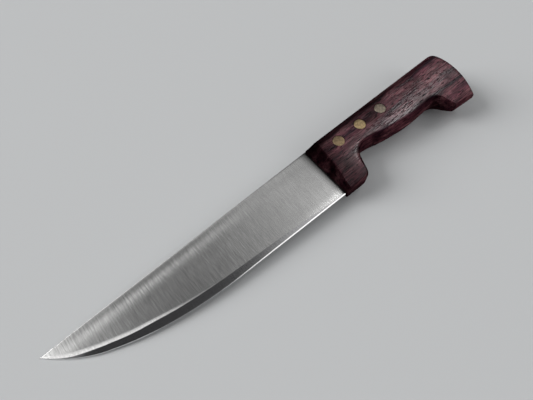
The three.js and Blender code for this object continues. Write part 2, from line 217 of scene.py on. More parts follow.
# Widths along the blade, as pairs of distance from the tip and width
BEVEL_WIDTHS = [(0, 0.1), (8, 0.15), (14, 0.6), (21, 2.2), (26, 3.0), (32, 3.4), (43, 3.8), (50, 4.2),
                (57, 4.8), (71, 4.8), (86, 4.9), (99, 4.75), (114, 4.3), (128, 3.7), (143, 3.0),
                (157, 2.35), (171, 1.55), (186, 0.5), (200, 0.2)]
HONED_WIDTHS = [(0, 0.15), (30, 0.22), (60, 0.28), (85, 0.36), (100, 0.42), (120, 0.5), (140, 0.58),
                (200, 0.7)]
BUFFED_WIDTHS = [(0, 1.2), (12, 1.9), (25, 1.8), (45, 1.8), (65, 1.3), (80, 0.7), (96, 0.06), (200, 0.06)]
EASING_WIDTHS = [(0, 0.3), (20, 0.3), (34, 0.09), (200, 0.09)]
BUFFED_END = 96
BEVEL_DEG = 3.6
RIDGE_DEG = 10
RIDGE_FULL_WIDTH = 1.5
RIDGE_POWER = 1.5
TIP_HONED_SHARE = 0.3
TIP_FLAT_SHARE = 0.12
TIP_BUFFED_SHARE = 0.45

# What grinding left on the sides: a swell, a hollow, a lip above the bevel and a thinner heel
SWELL_BELOW_SPINE = 9.5
SWELL_WIDTH = 3.2
SWELL_HEIGHT = 0.075
SWELL_FULL_DEPTH = 26
SWELL_FADE = (150, 198)
HOLLOW_BELOW_SPINE = 4
HOLLOW_WIDTH = 2
HOLLOW_DEPTH = 0.1
LIP_RUN = (80, 105, 150, 180)
LIP_WIDTH = 9
LIP_HEIGHT = 0.12
HEEL_GRIND = (110, 175)
HEEL_GRIND_WIDTH = 5
HEEL_GRIND_DEPTH = 0.22

HEEL_INSET = 4
HEEL_STEP = 0.8
HEEL_STEP_RUN = 0.1
TANG_HALF = 1.5
TANG_END = 272
TANG_HEIGHT_FRONT = 19.5
TANG_HEIGHT_REAR = 17.5
TANG_END_RADIUS = 4
TANG_SECTIONS = 24

HANDLE_THICKNESS = 19
HANDLE_FRONT = 199.5
SPINE_END = 326
SPINE_START = 0.6
SPINE_FALL = 0.9

BRUSH_LEAN_DEG = 2
BLADE_SHARP_DEG = 18


def row_points(points):
    """Row-frame places of points given from the tip, below the spine and above the middle plane."""
    from_tip, below_spine, up = np.asarray(points, float).T
    return np.stack([tip_x + from_tip * MM, spine_y - below_spine * MM, middle_z + up * MM], axis=1)


def curve_points(controls, steps):
    """A line or a Bezier curve given by control points: points on it and the way it runs at each of them."""
    controls = np.asarray(controls, float)
    degree = len(controls) - 1
    t = np.linspace(0, 1, steps + 1)[:, None]

    def blend(points):
        order = len(points) - 1
        return sum(math.comb(order, k) * t**k * (1 - t)**(order - k) * points[k] for k in range(order + 1))

    return blend(controls), blend(degree * np.diff(controls, axis=0))


def spine_below(x):
    """How far the handle's spine lies below the blade's."""
    return SPINE_START + SPINE_FALL * (x - HANDLE_FRONT) / (SPINE_END - HANDLE_FRONT)


def half_thickness(x, below_spine):
    return SPINE_HALF - TAPER_TO_TIP * (BLADE_LENGTH - x) - TAPER_TO_EDGE * below_spine


STATION_COUNT = 401
SMOOTHED_OVER = 41
STATIONS = np.linspace(0, BLADE_LENGTH, STATION_COUNT)
SMOOTHING = np.hanning(SMOOTHED_OVER) / np.hanning(SMOOTHED_OVER).sum()


def smooth_width(pairs):
    """Widths at all stations along the blade, without the kinks of the list they come from."""
    plain = np.interp(STATIONS, *zip(*pairs))
    return np.convolve(np.pad(plain, len(SMOOTHING) // 2, mode="edge"), SMOOTHING, mode="valid")


WIDTHS = [smooth_width(pairs) for pairs in (BEVEL_WIDTHS, HONED_WIDTHS, BUFFED_WIDTHS, EASING_WIDTHS)]

EASING_ROWS = np.linspace(0, 1, 6)
FLAT_ROWS = np.linspace(0, 1, 26)[1:]
BUFFED_ROWS = np.linspace(0, 1, 6)[1:]
SHOULDER_ROWS = np.linspace(0, 1, 7)[1:]
BEVEL_ROWS = np.linspace(0, 1, 6)[1:]
HONED_ROWS = np.array([0.06, 0.5, 1])
SHOULDER_HALF_WIDTH = 0.5
SHOULDER_SHARE = 0.3
EASING_SHARE = 0.4


def blade_section(edge_point, slope, top=0.0):
    """Left half of one cross-section, from spine to edge: distance from the tip, depth, half-thickness."""
    x, edge = edge_point[0], max(edge_point[1], TIP_BLUNT)
    lean = math.hypot(1, slope)
    bevel, honed, buffed, easing = (lean * np.interp(x, STATIONS, widths) for widths in WIDTHS)
    honed = min(honed, edge * TIP_HONED_SHARE)
    honed_top = edge - honed
    shoulder = max(honed_top - bevel, edge * TIP_FLAT_SHARE)
    tip = 1 - (1 - TIP_THICKNESS_SHARE) * max(0, 1 - x / TIP_TAPER_RUN) ** 2
    easing = min(easing, shoulder * EASING_SHARE, half_thickness(x, top) * tip * EASING_SHARE)
    roll = min(SHOULDER_HALF_WIDTH, (shoulder - easing) * SHOULDER_SHARE,
               (honed_top - shoulder) * SHOULDER_SHARE)
    buffed = min(buffed, (shoulder - roll - easing) * TIP_BUFFED_SHARE)
    wave = tip * min(1, shoulder / SWELL_FULL_DEPTH) * np.interp(x, SWELL_FADE, (1, 0))
    grind = HEEL_GRIND_DEPTH * np.interp(x, HEEL_GRIND, (0, 1))
    ridge_width = buffed + roll
    ridge_slope = math.tan(math.radians(RIDGE_DEG)) * min(1, buffed / RIDGE_FULL_WIDTH) * tip
    ridge_height = ridge_width * ridge_slope / RIDGE_POWER
    lip_height = LIP_HEIGHT * np.interp(x, LIP_RUN, (0, 1, 1, 0))
    bevel_slope = math.tan(math.radians(BEVEL_DEG)) + ridge_height / (honed_top - shoulder)
    bevel_slope += lip_height / (honed_top - shoulder)

    def ridge_at(down):
        lip = lip_height * max(0, 1 - (shoulder - down) / LIP_WIDTH) ** 2
        return lip + ridge_height * max(0, 1 - (shoulder - down) / ridge_width) ** RIDGE_POWER

    def ground_off(down):
        return grind * max(0, 1 - (honed_top - down) / HEEL_GRIND_WIDTH) ** 2

    def flat_at(down):
        swell = SWELL_HEIGHT * math.exp(-((down - SWELL_BELOW_SPINE) / SWELL_WIDTH) ** 2 / 2)
        hollow = HOLLOW_DEPTH * math.exp(-((down - HOLLOW_BELOW_SPINE) / HOLLOW_WIDTH) ** 2 / 2)
        return half_thickness(x, down) * tip + wave * (swell - hollow) + ridge_at(down) - ground_off(down)

    def bevel_at(down):
        crest = half_thickness(x, shoulder) * tip + ridge_at(shoulder)
        return crest - bevel_slope * (down - shoulder) - ground_off(down)

    rows = []
    for angle in EASING_ROWS * math.pi / 2:
        rounded = easing * (1 - math.sin(angle))
        rows.append((top + easing * (1 - math.cos(angle)), flat_at(top + easing) - rounded))
    flat_end = shoulder - roll - buffed
    for down in top + easing + (flat_end - top - easing) * FLAT_ROWS:
        rows.append((down, flat_at(down)))
    for down in flat_end + buffed * BUFFED_ROWS:
        rows.append((down, flat_at(down)))
    for u in SHOULDER_ROWS:
        down = shoulder - roll + 2 * roll * u
        rows.append((down, (1 - u) * flat_at(min(down, shoulder)) + u * bevel_at(max(down, shoulder))))
    for down in shoulder + roll + (honed_top - shoulder - roll) * BEVEL_ROWS:
        rows.append((down, bevel_at(down)))
    honed_half = bevel_at(honed_top)
    for u in HONED_ROWS:
        rows.append((honed_top + honed * u, honed_half + (EDGE_HALF - honed_half) * u))
    return [(x, down, half) for down, half in rows]


def tang_section(x, bottom, row_count):
    """Left half of one cross-section of the tang, with as many rows as the blade has."""
    top = spine_below(x)
    return [(x, top + (bottom - top) * k / (row_count - 1), TANG_HALF) for k in range(row_count)]


def tang_bottom(x):
    """Lower edge of the tang: a straight taper with a rounded rear corner."""
    share = (x - BLADE_LENGTH) / (TANG_END - BLADE_LENGTH)
    bottom = TANG_HEIGHT_FRONT + (TANG_HEIGHT_REAR - TANG_HEIGHT_FRONT) * share
    past = max(0, x - (TANG_END - TANG_END_RADIUS)) / TANG_END_RADIUS
    return bottom - TANG_END_RADIUS * (1 - math.sqrt(max(0, 1 - past**2)))


def closed_loft(sections):
    """Half sections mirrored in the middle plane and joined into one closed skin: points and faces."""
    rows = len(sections[0])
    points = []
    for section in sections:
        points += section
        points += [(x, down, -half) for x, down, half in reversed(section)]
    ring = 2 * rows
    faces = []
    for i in range(len(sections) - 1):
        for k in range(ring):
            after = (k + 1) % ring
            faces.append((i * ring + k, i * ring + after, (i + 1) * ring + after, (i + 1) * ring + k))
    last = (len(sections) - 1) * ring
    for k in range(rows - 1):
        far = ring - 1 - k
        faces.append((k, far, far - 1, k + 1))
        faces.append((last + k, last + k + 1, last + far - 1, last + far))
    return row_points(points), faces


def blade_sections():
    sections = []
    for controls, steps in EDGE_LINE:
        points, ways = curve_points(controls, steps)
        first = 0 if not sections else 1
        sections += [blade_section(p, w[1] / w[0]) for p, w in zip(points[first:], ways[first:])]
    for inset in (HEEL_STEP_RUN, HEEL_INSET):
        sections.append(blade_section((BLADE_LENGTH + inset, BLADE_HEIGHT), 0, HEEL_STEP))
    rows = len(sections[0])
    for u in np.linspace(0, 1, TANG_SECTIONS):
        x = BLADE_LENGTH + HEEL_INSET + (TANG_END - BLADE_LENGTH - HEEL_INSET) * math.sin(u * math.pi / 2)
        sections.append(tang_section(x, tang_bottom(x), rows))
    return sections


blade_points, blade_faces = closed_loft(blade_sections())
blade = new_object("ground_blade", blade_points, blade_faces)


RIVETS = ("front", "middle", "rear")
TURNED_SIDES = 72
SLEEVE_RADIUS = 2.9
TANG_HOLE_GAP = 0.1


def turned(name, profile, centre):
    """A round piece about an upright axis. The profile gives radius and height, from axis to axis."""
    angles = np.linspace(0, 2 * math.pi, TURNED_SIDES, endpoint=False)
    inner = profile[1:-1]
    points = [(centre.x + r * math.cos(a) * MM, centre.y + r * math.sin(a) * MM, z * MM)
              for r, z in inner for a in angles]
    faces = []
    for i in range(len(inner) - 1):
        for k in range(TURNED_SIDES):
            after = (k + 1) % TURNED_SIDES
            low, high = i * TURNED_SIDES, (i + 1) * TURNED_SIDES
            faces.append((low + k, low + after, high + after, high + k))
    last = (len(inner) - 1) * TURNED_SIDES
    faces.append(tuple(range(TURNED_SIDES))[::-1])
    faces.append(tuple(range(last, last + TURNED_SIDES)))
    return new_object(name, points, faces)


def rivet_centre(place):
    low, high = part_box(place + "_rivet_post")
    return (low + high) / 2


def cut(piece, cutters):
    """Takes the cutters' shapes out of a piece for good."""
    for cutter in cutters:
        modifier = piece.modifiers.new("cut", "BOOLEAN")
        modifier.operation = "DIFFERENCE"
        modifier.solver = "MANIFOLD"
        modifier.object = cutter
    graph = bpy.context.evaluated_depsgraph_get()
    finished = bpy.data.meshes.new_from_object(piece.evaluated_get(graph))
    piece.modifiers.clear()
    piece.data = finished
    for cutter in cutters:
        bpy.data.objects.remove(cutter)


def smooth_shading(piece, sharp_degrees):
    piece.data.shade_smooth()
    piece.data.set_sharp_from_angle(angle=math.radians(sharp_degrees))


SCRATCH_STRETCH = (1, 0.06, 0.4)
SCRATCH_DETAIL = 4.0
SCRATCH_UNEVENNESS = 0.65
SCRATCH_RANGE = (0.25, 0.75)
SCRATCH_DEPTH_M = 0.000015
SMUDGE_DETAIL = 3.0
SMUDGE_UNEVENNESS = 0.55
SMUDGE_RANGE = (0.35, 0.65)


def brushed_lines_group():
    """Fine parallel scratches. Its places run across the lines first and along them second, in metres."""
    group = bpy.data.node_groups.new("brushed_lines", "ShaderNodeTree")
    group.interface.new_socket("Place", in_out="INPUT", socket_type="NodeSocketVector")
    for socket in ("Spacing", "Smudge Size"):
        group.interface.new_socket(socket, in_out="INPUT", socket_type="NodeSocketFloat")
    for socket in ("Lines", "Smudges"):
        group.interface.new_socket(socket, in_out="OUTPUT", socket_type="NodeSocketFloat")
    start = group.nodes.new("NodeGroupInput")
    end = group.nodes.new("NodeGroupOutput")

    def marks(place, size, detail, unevenness):
        per_metre = add_node(group, "ShaderNodeMath", {0: 1.0, 1: start.outputs[size]}, operation="DIVIDE")
        sockets = {"Vector": place, "Scale": per_metre.outputs[0], "Detail": detail, "Roughness": unevenness}
        return add_node(group, "ShaderNodeTexNoise", sockets).outputs["Fac"]

    stretched = add_node(group, "ShaderNodeVectorMath", {0: start.outputs["Place"], 1: SCRATCH_STRETCH},
                         operation="MULTIPLY")
    lines = marks(stretched.outputs[0], "Spacing", SCRATCH_DETAIL, SCRATCH_UNEVENNESS)
    smudges = marks(start.outputs["Place"], "Smudge Size", SMUDGE_DETAIL, SMUDGE_UNEVENNESS)
    group.links.new(lines, end.inputs["Lines"])
    group.links.new(smudges, end.inputs["Smudges"])
    return group


brushed_lines = brushed_lines_group()


def place_scratches(tree, lean_degrees, spacing, smudge_size):
    """The brushed lines put into a material, leaning and spaced as given. Returns their outputs."""
    place = add_node(tree, "ShaderNodeTexCoord").outputs["Object"]
    turned_place = add_node(tree, "ShaderNodeVectorRotate",
                            {"Vector": place, "Angle": math.radians(lean_degrees)}, rotation_type="Z_AXIS")
    sockets = {"Place": turned_place.outputs[0], "Spacing": spacing * MM, "Smudge Size": smudge_size * MM}
    return add_node(tree, "ShaderNodeGroup", sockets, node_tree=brushed_lines).outputs


def brushed_metal(name, lean_degrees, dark, light, rough, spacing, anisotropy, smudge_size, smudge_depth):
    """Metal with fine scratches and smudges, between two colours and within a range of roughness."""
    material, tree, shader = new_material(name)
    scratches = place_scratches(tree, lean_degrees, spacing, smudge_size)
    lines = spread(tree, scratches["Lines"], *SCRATCH_RANGE)
    smudge = spread(tree, scratches["Smudges"], *SMUDGE_RANGE, 1 - smudge_depth, 1 + smudge_depth)
    colour = mixed_colour(tree, 1.0, mixed_colour(tree, lines, dark, light), smudge, "MULTIPLY")
    tree.links.new(colour, shader.inputs["Base Color"])
    tree.links.new(spread(tree, lines, 0, 1, rough[1], rough[0]), shader.inputs["Roughness"])
    bump = add_node(tree, "ShaderNodeBump", {"Height": lines, "Strength": 1.0, "Distance": SCRATCH_DEPTH_M})
    tree.links.new(bump.outputs[0], shader.inputs["Normal"])
    shader.inputs["Metallic"].default_value = 1.0
    shader.inputs["Anisotropic"].default_value = anisotropy
    tangent = add_node(tree, "ShaderNodeTangent", direction_type="UV_MAP", uv_map="brush")
    tree.links.new(tangent.outputs[0], shader.inputs["Tangent"])
    return material


def brush_map(piece, lean_degrees):
    """A flat map of a piece whose first direction runs across the brush lines."""
    across = np.array([math.cos(math.radians(lean_degrees)), -math.sin(math.radians(lean_degrees))])
    along = np.array([-across[1], across[0]])
    mesh = piece.data
    corners = np.empty(len(mesh.loops), int)
    mesh.loops.foreach_get("vertex_index", corners)
    places = np.empty(len(mesh.vertices) * 3)
    mesh.vertices.foreach_get("co", places)
    flat = places.reshape(-1, 3)[corners][:, :2]
    layer = mesh.uv_layers.new(name="brush")
    layer.data.foreach_set("uv", np.stack([flat @ across, flat @ along], axis=1).astype(np.float32).ravel())


ROW_KINDS = (EASING_ROWS, FLAT_ROWS, BUFFED_ROWS, SHOULDER_ROWS, BEVEL_ROWS, HONED_ROWS)
ROWS_PER_SIDE = sum(len(rows) for rows in ROW_KINDS)
FIRST_HONED_ROW = ROWS_PER_SIDE - len(HONED_ROWS) - 1
FIRST_BEVEL_ROW = FIRST_HONED_ROW - len(BEVEL_ROWS) - len(SHOULDER_ROWS) // 2
FIRST_BUFFED_ROW = len(EASING_ROWS) + len(FLAT_ROWS) - 1
BLADE_SECTIONS = sum(steps for controls, steps in EDGE_LINE) + 1

# Finishes: two colours, range of roughness, scratch spacing, anisotropy, and size and depth of smudges
BLADE_FINISHES = {
    "satin_steel": ((0.545, 0.545, 0.54, 1), (0.703, 0.703, 0.692, 1), (0.22, 0.25), 0.55, 0.6, 18, 0.05),
    "ground_steel": ((0.4, 0.4, 0.405, 1), (0.64, 0.64, 0.645, 1), (0.17, 0.2), 0.5, 0.5, 18, 0.05),
    "honed_steel": ((0.68, 0.68, 0.68, 1), (0.82, 0.82, 0.82, 1), (0.14, 0.2), 0.3, 0.3, 6, 0.05),
    # The buffed strip is a buffed finish with a painted highlight: its lighter colours brighten the line
    # along the shoulder.
    "buffed_steel_painted_highlight": ((0.68, 0.675, 0.67, 1), (0.86, 0.855, 0.85, 1), (0.22, 0.28), 0.5, 0.5, 6, 0.05),
}
QUARTER_TURN = 0.25
COARSE_SPACING = 0.6
COARSE_RANGE = (0.3, 0.7)
COARSE_DEPTH = 0.22
COARSE_FADE = (110, 168)
# Painted shade on the blade next to the handle: where it runs from the tip, and how dark it gets
HANDLE_SHADE_RUN = (192, 200)
HANDLE_SHADE_TONE = 0.1


def tone_along(tree, x, run, before, after):
    """A tone that changes smoothly between two distances from the tip."""
    start, end = (tip_x + at * MM for at in run)
    return spread(tree, x, start, end, before, after, "SMOOTHSTEP")


def tint(material, tone):
    """Multiplies the colour of a finish by a tone."""
    tree = material.node_tree
    base = tree.nodes["Principled BSDF"].inputs["Base Color"]
    tree.links.new(mixed_colour(tree, 1.0, base.links[0].from_socket, tone, "MULTIPLY"), base)


def blade_x(tree):
    """Place along the knife, in the row's frame."""
    place = add_node(tree, "ShaderNodeTexCoord").outputs["Object"]
    return add_node(tree, "ShaderNodeSeparateXYZ", {0: place}).outputs["X"]


def coarse_lines(material):
    """Adds stronger scratches of the first grinding, which the later brushing took out towards the heel."""
    tree = material.node_tree
    lines = place_scratches(tree, BRUSH_LEAN_DEG, COARSE_SPACING, COARSE_SPACING)["Lines"]
    signed = spread(tree, lines, *COARSE_RANGE, -1, 1)
    depth = tone_along(tree, blade_x(tree), COARSE_FADE, COARSE_DEPTH, 0)
    sockets = {0: signed, 1: depth, 2: 1.0}
    tint(material, add_node(tree, "ShaderNodeMath", sockets, operation="MULTIPLY_ADD").outputs[0])


def paint_handle_shade(material):
    """Painted shade: darkens a finish next to the handle, where the handle shades the blade."""
    tree = material.node_tree
    tint(material, tone_along(tree, blade_x(tree), HANDLE_SHADE_RUN, 1, HANDLE_SHADE_TONE))


steel = {name: brushed_metal(name, BRUSH_LEAN_DEG, *finish) for name, finish in BLADE_FINISHES.items()}
highlight_buffed_shader = steel["buffed_steel_painted_highlight"].node_tree.nodes["Principled BSDF"]
highlight_buffed_shader.inputs["Anisotropic Rotation"].default_value = QUARTER_TURN
coarse_lines(steel["satin_steel"])
# Painted shade: the satin steel darkens next to the handle.
paint_handle_shade(steel["satin_steel"])
finish_number = {name: number for number, name in enumerate(steel)}
for finish in steel.values():
    blade.data.materials.append(finish)
ring = 2 * ROWS_PER_SIDE
for index, polygon in enumerate(blade.data.polygons):
    section, k = divmod(index, ring)
    row = k if k < ROWS_PER_SIDE else ring - 2 - k
    if section >= BLADE_SECTIONS - 1 or row < FIRST_BUFFED_ROW:
        continue
    if row >= FIRST_HONED_ROW:
        polygon.material_index = finish_number["honed_steel"]
    elif row >= FIRST_BEVEL_ROW:
        polygon.material_index = finish_number["ground_steel"]
    # Buffed strip near the tip, with a painted highlight along the shoulder.
    elif polygon.center.x < tip_x + BUFFED_END * MM:
        polygon.material_index = finish_number["buffed_steel_painted_highlight"]

hole_radius = SLEEVE_RADIUS + TANG_HOLE_GAP
hole_profile = [(0, 0), (hole_radius, 0), (hole_radius, HANDLE_THICKNESS), (0, HANDLE_THICKNESS)]
cut(blade, [turned("tang_hole", hole_profile, rivet_centre(place)) for place in RIVETS])
smooth_shading(blade, BLADE_SHARP_DEG)
brush_map(blade, BRUSH_LEAN_DEG)
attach(blade, "root")
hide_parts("blade")


# Scales: two pieces of oiled rosewood, shaped alike, glued and riveted to either side of the tang. Each
# has a rebate for the tang, a slot for the blade's heel, a bevelled front, a lug and a hooked butt.
HANDLE_HALF = HANDLE_THICKNESS / 2

# Roundings-over: how far in from the wall each begins, and how deep it falls
SPINE_ROUND = (4.5, 4.8)
EDGE_ROUND = (1.6, 2.6)
CORNER_ROUND = (4.5, 1.2)
GRIP_ROUND = (2.8, 6)
FOOT_ROUND = (1.6, 2.4)

# Crown towards the belly: where it starts below the blade's spine, front and rear, and its fall
CROWN_START = 16
CROWN_RISE = (275, 292)
CROWN_START_REAR = 13.5
CROWN = 0.0055

FRONT_LAND = 3.7
BUTT_ROUND_RUN = 0.4
SLANT_MIN = 0.35
SPINE_OVERRUN = 5
BUTT_CURVE_STEPS = 60
BUTT_STEPS = 96
OUTLINE_FINENESS = 2
BEZIER_POINTS = 4
HANDLE_SHARP_DEG = 35

LUG_TOE = (198.4, 41.8)
LUG_FOOT = (200.6, 41.9)
HOOK_FOOT = (318, 45.76)
HOOK_HEEL = (329, 46.9)
GRIP_LINE = [(234, 22.9), (241, 24), (249, 26.4), (259, 28.4), (272, 30.3), (284, 30.8), (295.5, 30.6)]

# Each piece of the belly: its line, the stretch of spine above it, its rounding-over at both ends, and steps
BELLY = [
    ([LUG_FOOT, (213.5, 42.4)], (207.5, 211.5), (FOOT_ROUND, FOOT_ROUND), 8),
    ([(213.5, 42.4), (218.8, 42.5), (219.9, 37.5)], (211.5, 215), (FOOT_ROUND, EDGE_ROUND), 16),
    ([(219.9, 37.5), (222.6, 29)], (215, 219), (EDGE_ROUND, CORNER_ROUND), 8),
    ([(222.6, 29), (225, 25.4), (229, 22.6), (234, 22.9)], (219, 234), (CORNER_ROUND, EDGE_ROUND), 20),
    (GRIP_LINE, (234, 296), (EDGE_ROUND, GRIP_ROUND), 60),
    ([(295.5, 30.6), (301.8, 30.8), (304.4, 34), (305.6, 38.2)], (296, 310), (GRIP_ROUND, EDGE_ROUND), 20),
    ([(305.6, 38.2), (308.2, 43.2)], (310, 313), (EDGE_ROUND, FOOT_ROUND), 6),
    ([(308.2, 43.2), (308.8, 44.8), (310.7, 45)], (313, 315), (FOOT_ROUND, FOOT_ROUND), 8),
    ([(310.7, 45), HOOK_FOOT], (315, HOOK_FOOT[0]), (FOOT_ROUND, FOOT_ROUND), 6),
]
BUTT_CURVES = [
    [(SPINE_END, SPINE_START + SPINE_FALL), (331.5, 1.5), (333.6, 3.4), (333.9, 12)],
    [(333.9, 12), (334.3, 24), (333.8, 34), HOOK_HEEL],
]


def spline_points(knots, steps):
    """A smooth line through all the knots, as points and the way it runs."""
    knots = np.asarray(knots, float)
    ends = np.vstack([2 * knots[0] - knots[1], knots, 2 * knots[-1] - knots[-2]])
    at = np.linspace(0, len(knots) - 1, steps + 1)
    k = np.minimum(at.astype(int), len(knots) - 2)
    t = (at - k)[:, None]
    p0, p1, p2, p3 = (ends[k + i] for i in range(4))
    a, b, c = p2 - p0, 2 * p0 - 5 * p1 + 4 * p2 - p3, 3 * p1 - p0 - 3 * p2 + p3
    return p1 + (a * t + b * t**2 + c * t**3) / 2, (a + 2 * b * t + 3 * c * t**2) / 2


def belly_points(line, steps):
    """A short line is a Bezier curve or straight. A longer one runs through all its points."""
    return spline_points(line, steps) if len(line) > BEZIER_POINTS else curve_points(line, steps)


def evenly_spaced(points, shares):
    """Points of a polyline at the given shares of its length."""
    lengths = np.concatenate([[0], np.cumsum(np.linalg.norm(np.diff(points, axis=0), axis=1))])
    at = np.asarray(shares) * lengths[-1]
    return np.stack([np.interp(at, lengths, points[:, axis]) for axis in range(2)], axis=1)


butt_line = np.vstack([curve_points(controls, BUTT_CURVE_STEPS)[0] for controls in BUTT_CURVES])


def between(first, second, share):
    share = np.asarray(share, float)[:, None]
    return np.asarray(first, float) * (1 - share) + np.asarray(second, float) * share


def rounded_outline():
    """The handle's outline as straight stretches: their ends, and the rounding-over at each end."""
    starts, ends, from_round, to_round = [], [], [], []

    def add(points, rounding):
        starts.append(points[:-1])
        ends.append(points[1:])
        from_round.append(rounding[:-1])
        to_round.append(rounding[1:])

    spine = np.array([(x, spine_below(x)) for x in (HANDLE_FRONT - SPINE_OVERRUN, SPINE_END)])
    add(spine, np.array([SPINE_ROUND, SPINE_ROUND], float))
    shares = np.linspace(0, 1, BUTT_STEPS + 1)
    turn = np.clip(shares / BUTT_ROUND_RUN, 0, 1)
    add(evenly_spaced(butt_line, shares), between(SPINE_ROUND, EDGE_ROUND, turn * turn * (3 - 2 * turn)))
    add(np.array([LUG_TOE, LUG_FOOT], float), np.array([FOOT_ROUND, FOOT_ROUND], float))
    for line, spine_stretch, rounds, steps in BELLY:
        fine_steps = steps * OUTLINE_FINENESS
        add(belly_points(line, fine_steps)[0], between(*rounds, np.linspace(0, 1, fine_steps + 1)))
    add(np.array([HOOK_FOOT, HOOK_HEEL], float), np.array([FOOT_ROUND, EDGE_ROUND], float))
    return [np.vstack(part) for part in (starts, ends, from_round, to_round)]


outline = rounded_outline()


def side_height(points):
    """Height of the left side above the middle plane: flat, crowned to the belly, rounded over at edges."""
    starts, ends, from_round, to_round = outline
    way = ends - starts
    offset = points[:, None, :] - starts[None]
    t = np.clip((offset * way).sum(2) / (way * way).sum(1), 0, 1)
    distance = np.linalg.norm(offset - t[..., None] * way, axis=2)
    nearest = distance.argmin(axis=1)
    every = np.arange(len(points))
    rounding = between(from_round[nearest], to_round[nearest], t[every, nearest])
    share = np.clip(1 - distance[every, nearest] / rounding[:, 0], 0, 1)
    crown_start = np.interp(points[:, 0], CROWN_RISE, (CROWN_START, CROWN_START_REAR))
    crown = CROWN * np.maximum(0, points[:, 1] - crown_start) ** 2
    return HANDLE_HALF - crown - rounding[:, 1] * (1 - np.sqrt(1 - share * share))


SPINE_TURN = np.linspace(0, 1, 13)
FLAT_RUN = np.linspace(0, 1, 11)[1:]
CROWN_RUN = np.linspace(0, 1, 13)[1:]
EDGE_TURN = np.linspace(0, 1, 10)
FRONT_RUN = np.array([0, 0.06, 0.14, 0.4, 0.7, 0.9, 0.96])
BUTT_RUN = np.linspace(0, 1, 8)[1:-1]
EASED_RIDGE = 0.16
UNEVENNESS = 0.05
UNEVEN_PER_MM = 0.11
SCALES_APART_IN_LOG = 40
SEAM_HALF = 0.05


def turn_in(u):
    """How far in from the wall a rounded-over edge is after the share u of its turn."""
    return 1 - np.cos(u * math.pi / 2)


def line_across(top, bottom, edge):
    """Points from the spine to the belly, closer together in the rounded-over edges."""
    length = np.linalg.norm(bottom - top)
    way = (bottom - top) / length
    crown_start = (CROWN_START - top[1]) / way[1]
    flat = SPINE_ROUND[0] + (crown_start - SPINE_ROUND[0]) * FLAT_RUN
    crowned = crown_start + (length - edge - crown_start) * CROWN_RUN
    rounded = length - turn_in(1 - EDGE_TURN[1:]) * edge
    stops = np.concatenate([turn_in(SPINE_TURN) * SPINE_ROUND[0], flat, crowned, rounded])
    return top + stops[:, None] * way


def scale_lines():
    """The left side as lines across the handle, from its front to its butt: distance, depth and height."""
    plain = []
    for number, (line, spine_stretch, rounds, steps) in enumerate(BELLY):
        points, ways = belly_points(line, steps)
        shares = np.linspace(0, 1, steps + 1)
        for i in range(0 if number == 0 else 1, steps + 1):
            x = spine_stretch[0] + (spine_stretch[1] - spine_stretch[0]) * shares[i]
            top = np.array([x, spine_below(x)])
            run = (points[i] - top) / np.linalg.norm(points[i] - top)
            way = ways[i] / np.linalg.norm(ways[i])
            slant = max(SLANT_MIN, abs(run[0] * way[1] - run[1] * way[0]))
            edge = between(*rounds, [shares[i]])[0][0] / slant
            plain.append(line_across(top, points[i], edge))
    last = plain[-1]
    spacing = np.linalg.norm(last - last[0], axis=1)
    butt = evenly_spaced(butt_line, spacing / spacing[-1])
    depth = np.linalg.norm(butt - last, axis=1)[:, None]
    for u in BUTT_RUN:
        plain.append(last + (butt - last) * (1 - EDGE_ROUND[0] / depth) * u)
    for u in EDGE_TURN:
        plain.append(butt + (last - butt) * turn_in(1 - u) * EDGE_ROUND[0] / depth)
    lines = [np.column_stack([points, side_height(points)]) for points in plain]
    front_top = np.array([HANDLE_FRONT, spine_below(HANDLE_FRONT)])
    front = line_across(front_top, np.array(LUG_TOE), FOOT_ROUND[0])
    land = np.column_stack([front, np.minimum(FRONT_LAND, side_height(front))])
    bevel = [land + (lines[0] - land) * u for u in FRONT_RUN]
    bevel[0] = bevel[0] - np.array([0, 0, EASED_RIDGE])
    lines[0] = lines[0] - np.array([0, 0, EASED_RIDGE])
    return np.array(bevel + lines)


def rim_of(line_count, row_count):
    """Numbers of the grid's outermost points, once round: front, belly, butt and spine."""
    last = line_count - 1
    front = list(range(row_count))
    belly = [i * row_count + row_count - 1 for i in range(1, line_count)]
    butt = [last * row_count + k for k in range(row_count - 2, -1, -1)]
    spine = [i * row_count for i in range(last - 1, 0, -1)]
    return front + belly + butt + spine


def scale_blank(name, side):
    """Half of the handle on one side of the middle plane, before anything is cut into it."""
    lines = scale_lines()
    line_count, row_count = lines.shape[:2]
    points = lines.reshape(-1, 3)
    rim = rim_of(line_count, row_count)
    inner = np.ones((line_count, row_count))
    inner[[0, -1], :] = 0
    inner[:, [0, -1]] = 0
    depth_in_log = side * SCALES_APART_IN_LOG
    wobble = [noise.noise(Vector((x, y, depth_in_log)) * UNEVEN_PER_MM) for x, y, z in points]
    points[:, 2] -= UNEVENNESS * inner.ravel() * (1 + np.array(wobble))
    seam = np.column_stack([points[rim][:, :2], np.full(len(rim), SEAM_HALF)])
    faces = []
    for i in range(line_count - 1):
        for k in range(row_count - 1):
            a = i * row_count + k
            faces.append((a, a + 1, a + row_count + 1, a + row_count))
    count, first = len(rim), len(points)
    for i in range(count):
        j = (i + 1) % count
        faces.append((first + i, first + j, rim[j], rim[i]))
    faces.append(tuple(first + i for i in reversed(range(count))))
    points = np.vstack([points, seam]) * np.array([1, 1, side])
    if side < 0:
        faces = [face[::-1] for face in faces]
    return new_object(name, row_points(points), faces)


GLUE_GAP = 0.08
FIT_GAP = 0.12
TANG_START = 201
HEAD_RADIUS = 4.1
HEAD_LENGTH = 2.4
HOLE_GAP = 0.05
HOLE_MOUTH_EASING = 0.25
CUT_OVERRUN = 1
SLOT_OVERRUN = 2
CORNER_POINTS = 9


